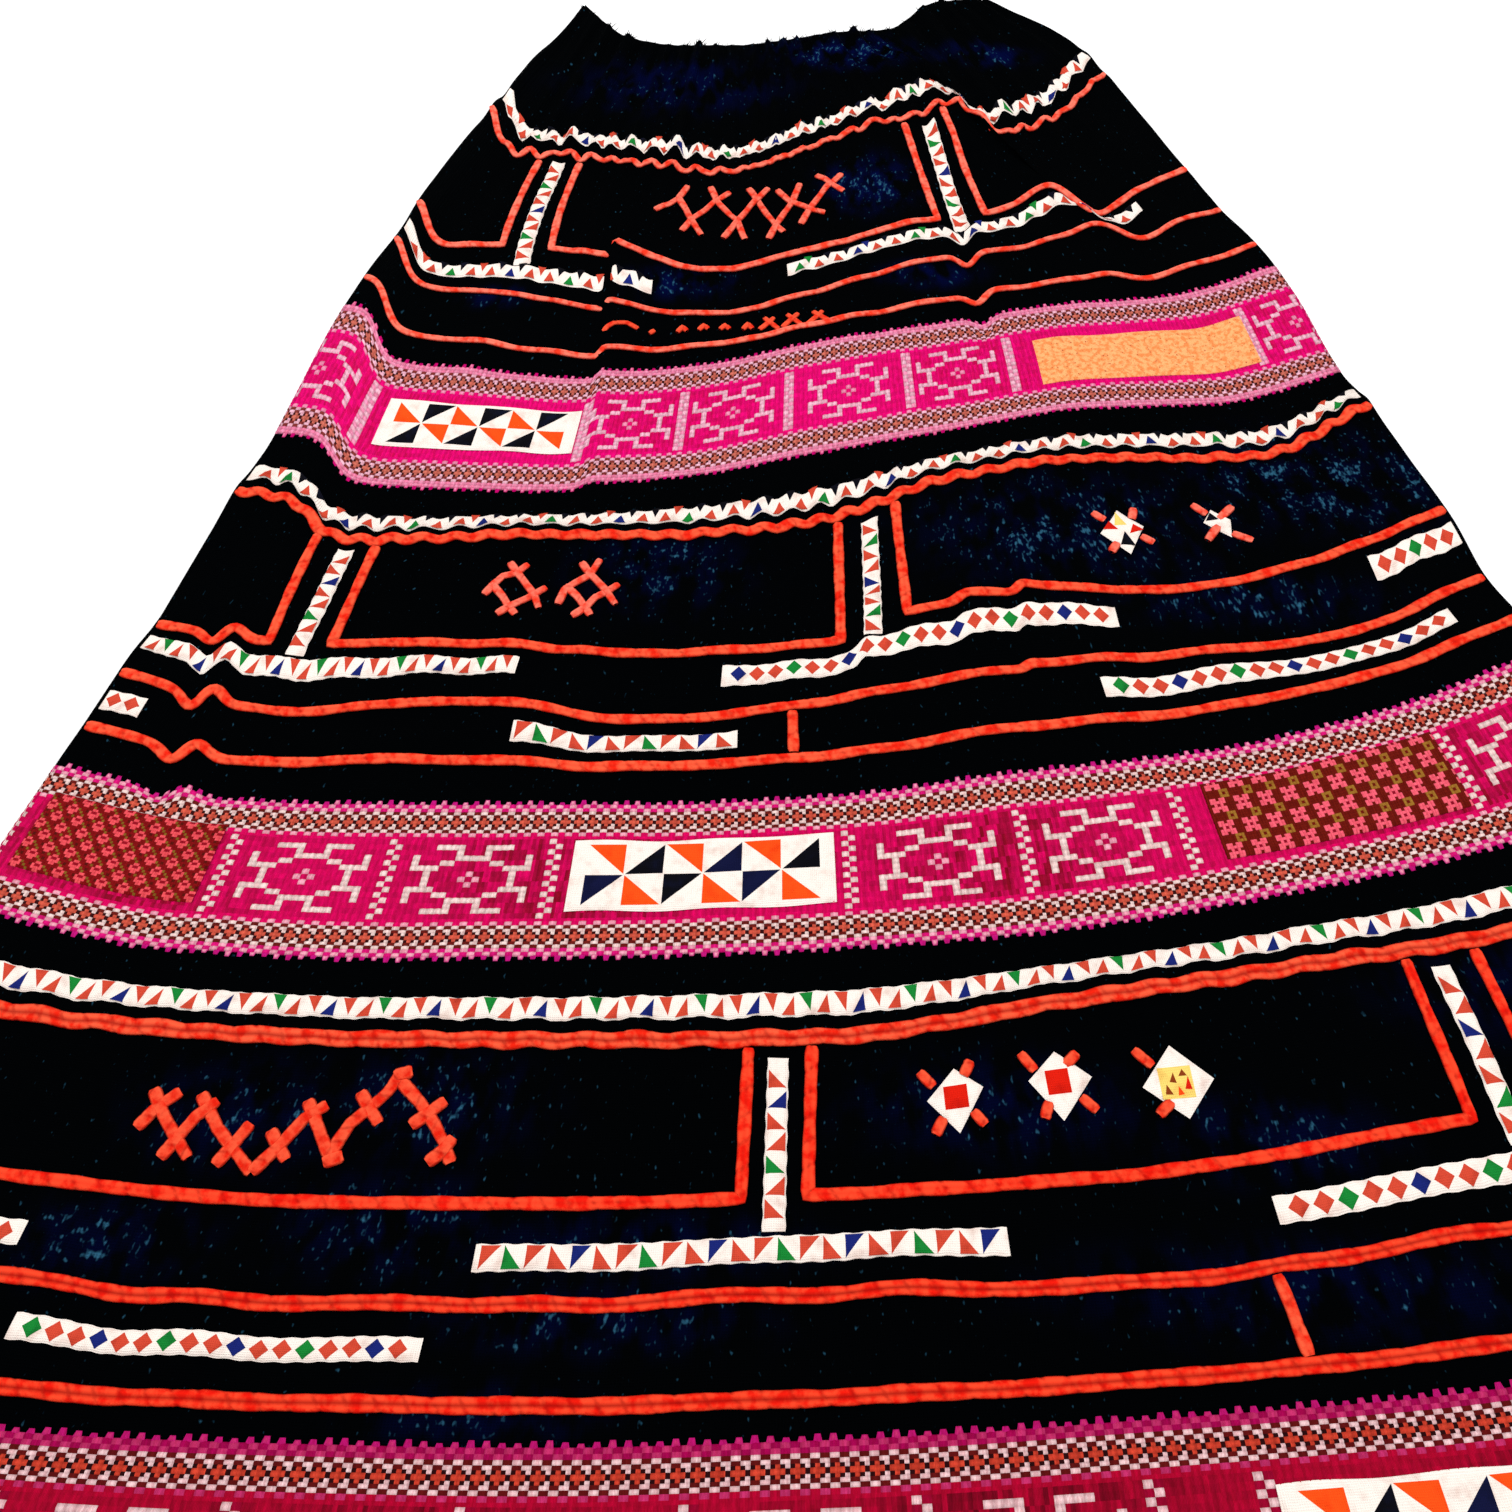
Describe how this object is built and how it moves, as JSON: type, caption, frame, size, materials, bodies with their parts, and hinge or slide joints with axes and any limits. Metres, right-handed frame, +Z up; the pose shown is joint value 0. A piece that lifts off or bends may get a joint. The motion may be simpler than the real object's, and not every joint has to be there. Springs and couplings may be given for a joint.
{
  "type": "hmong skirt",
  "caption": "Long tiered skirt of dark indigo cloth laid flat: gathered yoke, embroidered magenta bands, red corded panels, pieced strips and cotton patches; worn round the waist.",
  "frame": {"origin": "middle of the skirt's length and width, on the surface it lies on", "axes": "+Z up off the surface, out of the skirt's front; +Y from the hem to the waist; +X to the right as the front is seen"},
  "size_m": [1.017, 1.0788, 0.0137],
  "materials": {
    "indigo_cloth": "matt, near-black indigo plain weave",
    "magenta_embroidery": "dense wool and cotton cross-stitch, magenta, pink and cream",
    "red_cord": "soft wool cord, red-orange",
    "pieced_strip": "cream cotton with red, green and navy triangles",
    "pinwheel_cotton": "cream cotton with orange and navy triangles",
    "orange_cotton": "soft orange cotton with darker specks",
    "brown_cotton": "brown cotton with coral flowers"
  },
  "bodies": {
    "root": {"waist_yoke": "indigo_cloth", "tier_1_cloth": "indigo_cloth", "tier_2_cloth": "indigo_cloth", "tier_3_cloth": "indigo_cloth", "hem": "indigo_cloth", "band_1": "magenta_embroidery", "band_2": "magenta_embroidery", "band_3": "magenta_embroidery", "cord_1_top": "red_cord", "cord_1_upper": "red_cord", "cord_1_lower": "red_cord", "cord_2_top": "red_cord", "cord_2_upper": "red_cord", "cord_2_lower": "red_cord", "cord_3_top": "red_cord", "cord_3_upper": "red_cord", "cord_3_lower": "red_cord", "frame_1_left": "red_cord", "frame_1_middle": "red_cord", "frame_1_right": "red_cord", "frame_2_left": "red_cord", "frame_2_middle": "red_cord", "frame_2_right": "red_cord", "frame_3_left": "red_cord", "frame_3_middle": "red_cord", "frame_3_right": "red_cord", "short_cord_2": "red_cord", "short_cord_3": "red_cord", "triangle_strip_1": "pieced_strip", "triangle_strip_2": "pieced_strip", "triangle_strip_3": "pieced_strip", "foot_strip_1_left": "pieced_strip", "foot_strip_1_right": "pieced_strip", "foot_strip_2_left": "pieced_strip", "foot_strip_2_middle": "pieced_strip", "foot_strip_2_right": "pieced_strip", "foot_strip_3_left": "pieced_strip", "foot_strip_3_middle": "pieced_strip", "foot_strip_3_right": "pieced_strip", "short_strip_2_left": "pieced_strip", "short_strip_2_middle": "pieced_strip", "short_strip_2_right": "pieced_strip", "short_strip_3_left": "pieced_strip", "upright_strip_1_left": "pieced_strip", "upright_strip_1_right": "pieced_strip", "upright_strip_2_left": "pieced_strip", "upright_strip_2_right": "pieced_strip", "upright_strip_3_left": "pieced_strip", "upright_strip_3_right": "pieced_strip", "pinwheel_patch_1": "pinwheel_cotton", "pinwheel_patch_2": "pinwheel_cotton", "pinwheel_patch_3": "pinwheel_cotton", "cross_patch_2_left": "pinwheel_cotton", "cross_patch_2_right": "pinwheel_cotton", "diamond_patch_3_left": "pinwheel_cotton", "diamond_patch_3_middle": "pinwheel_cotton", "diamond_patch_3_right": "pinwheel_cotton", "orange_patch_1": "orange_cotton", "brown_patch_2_left": "brown_cotton", "brown_patch_2_right": "brown_cotton"}
  },
  "joints": []
}
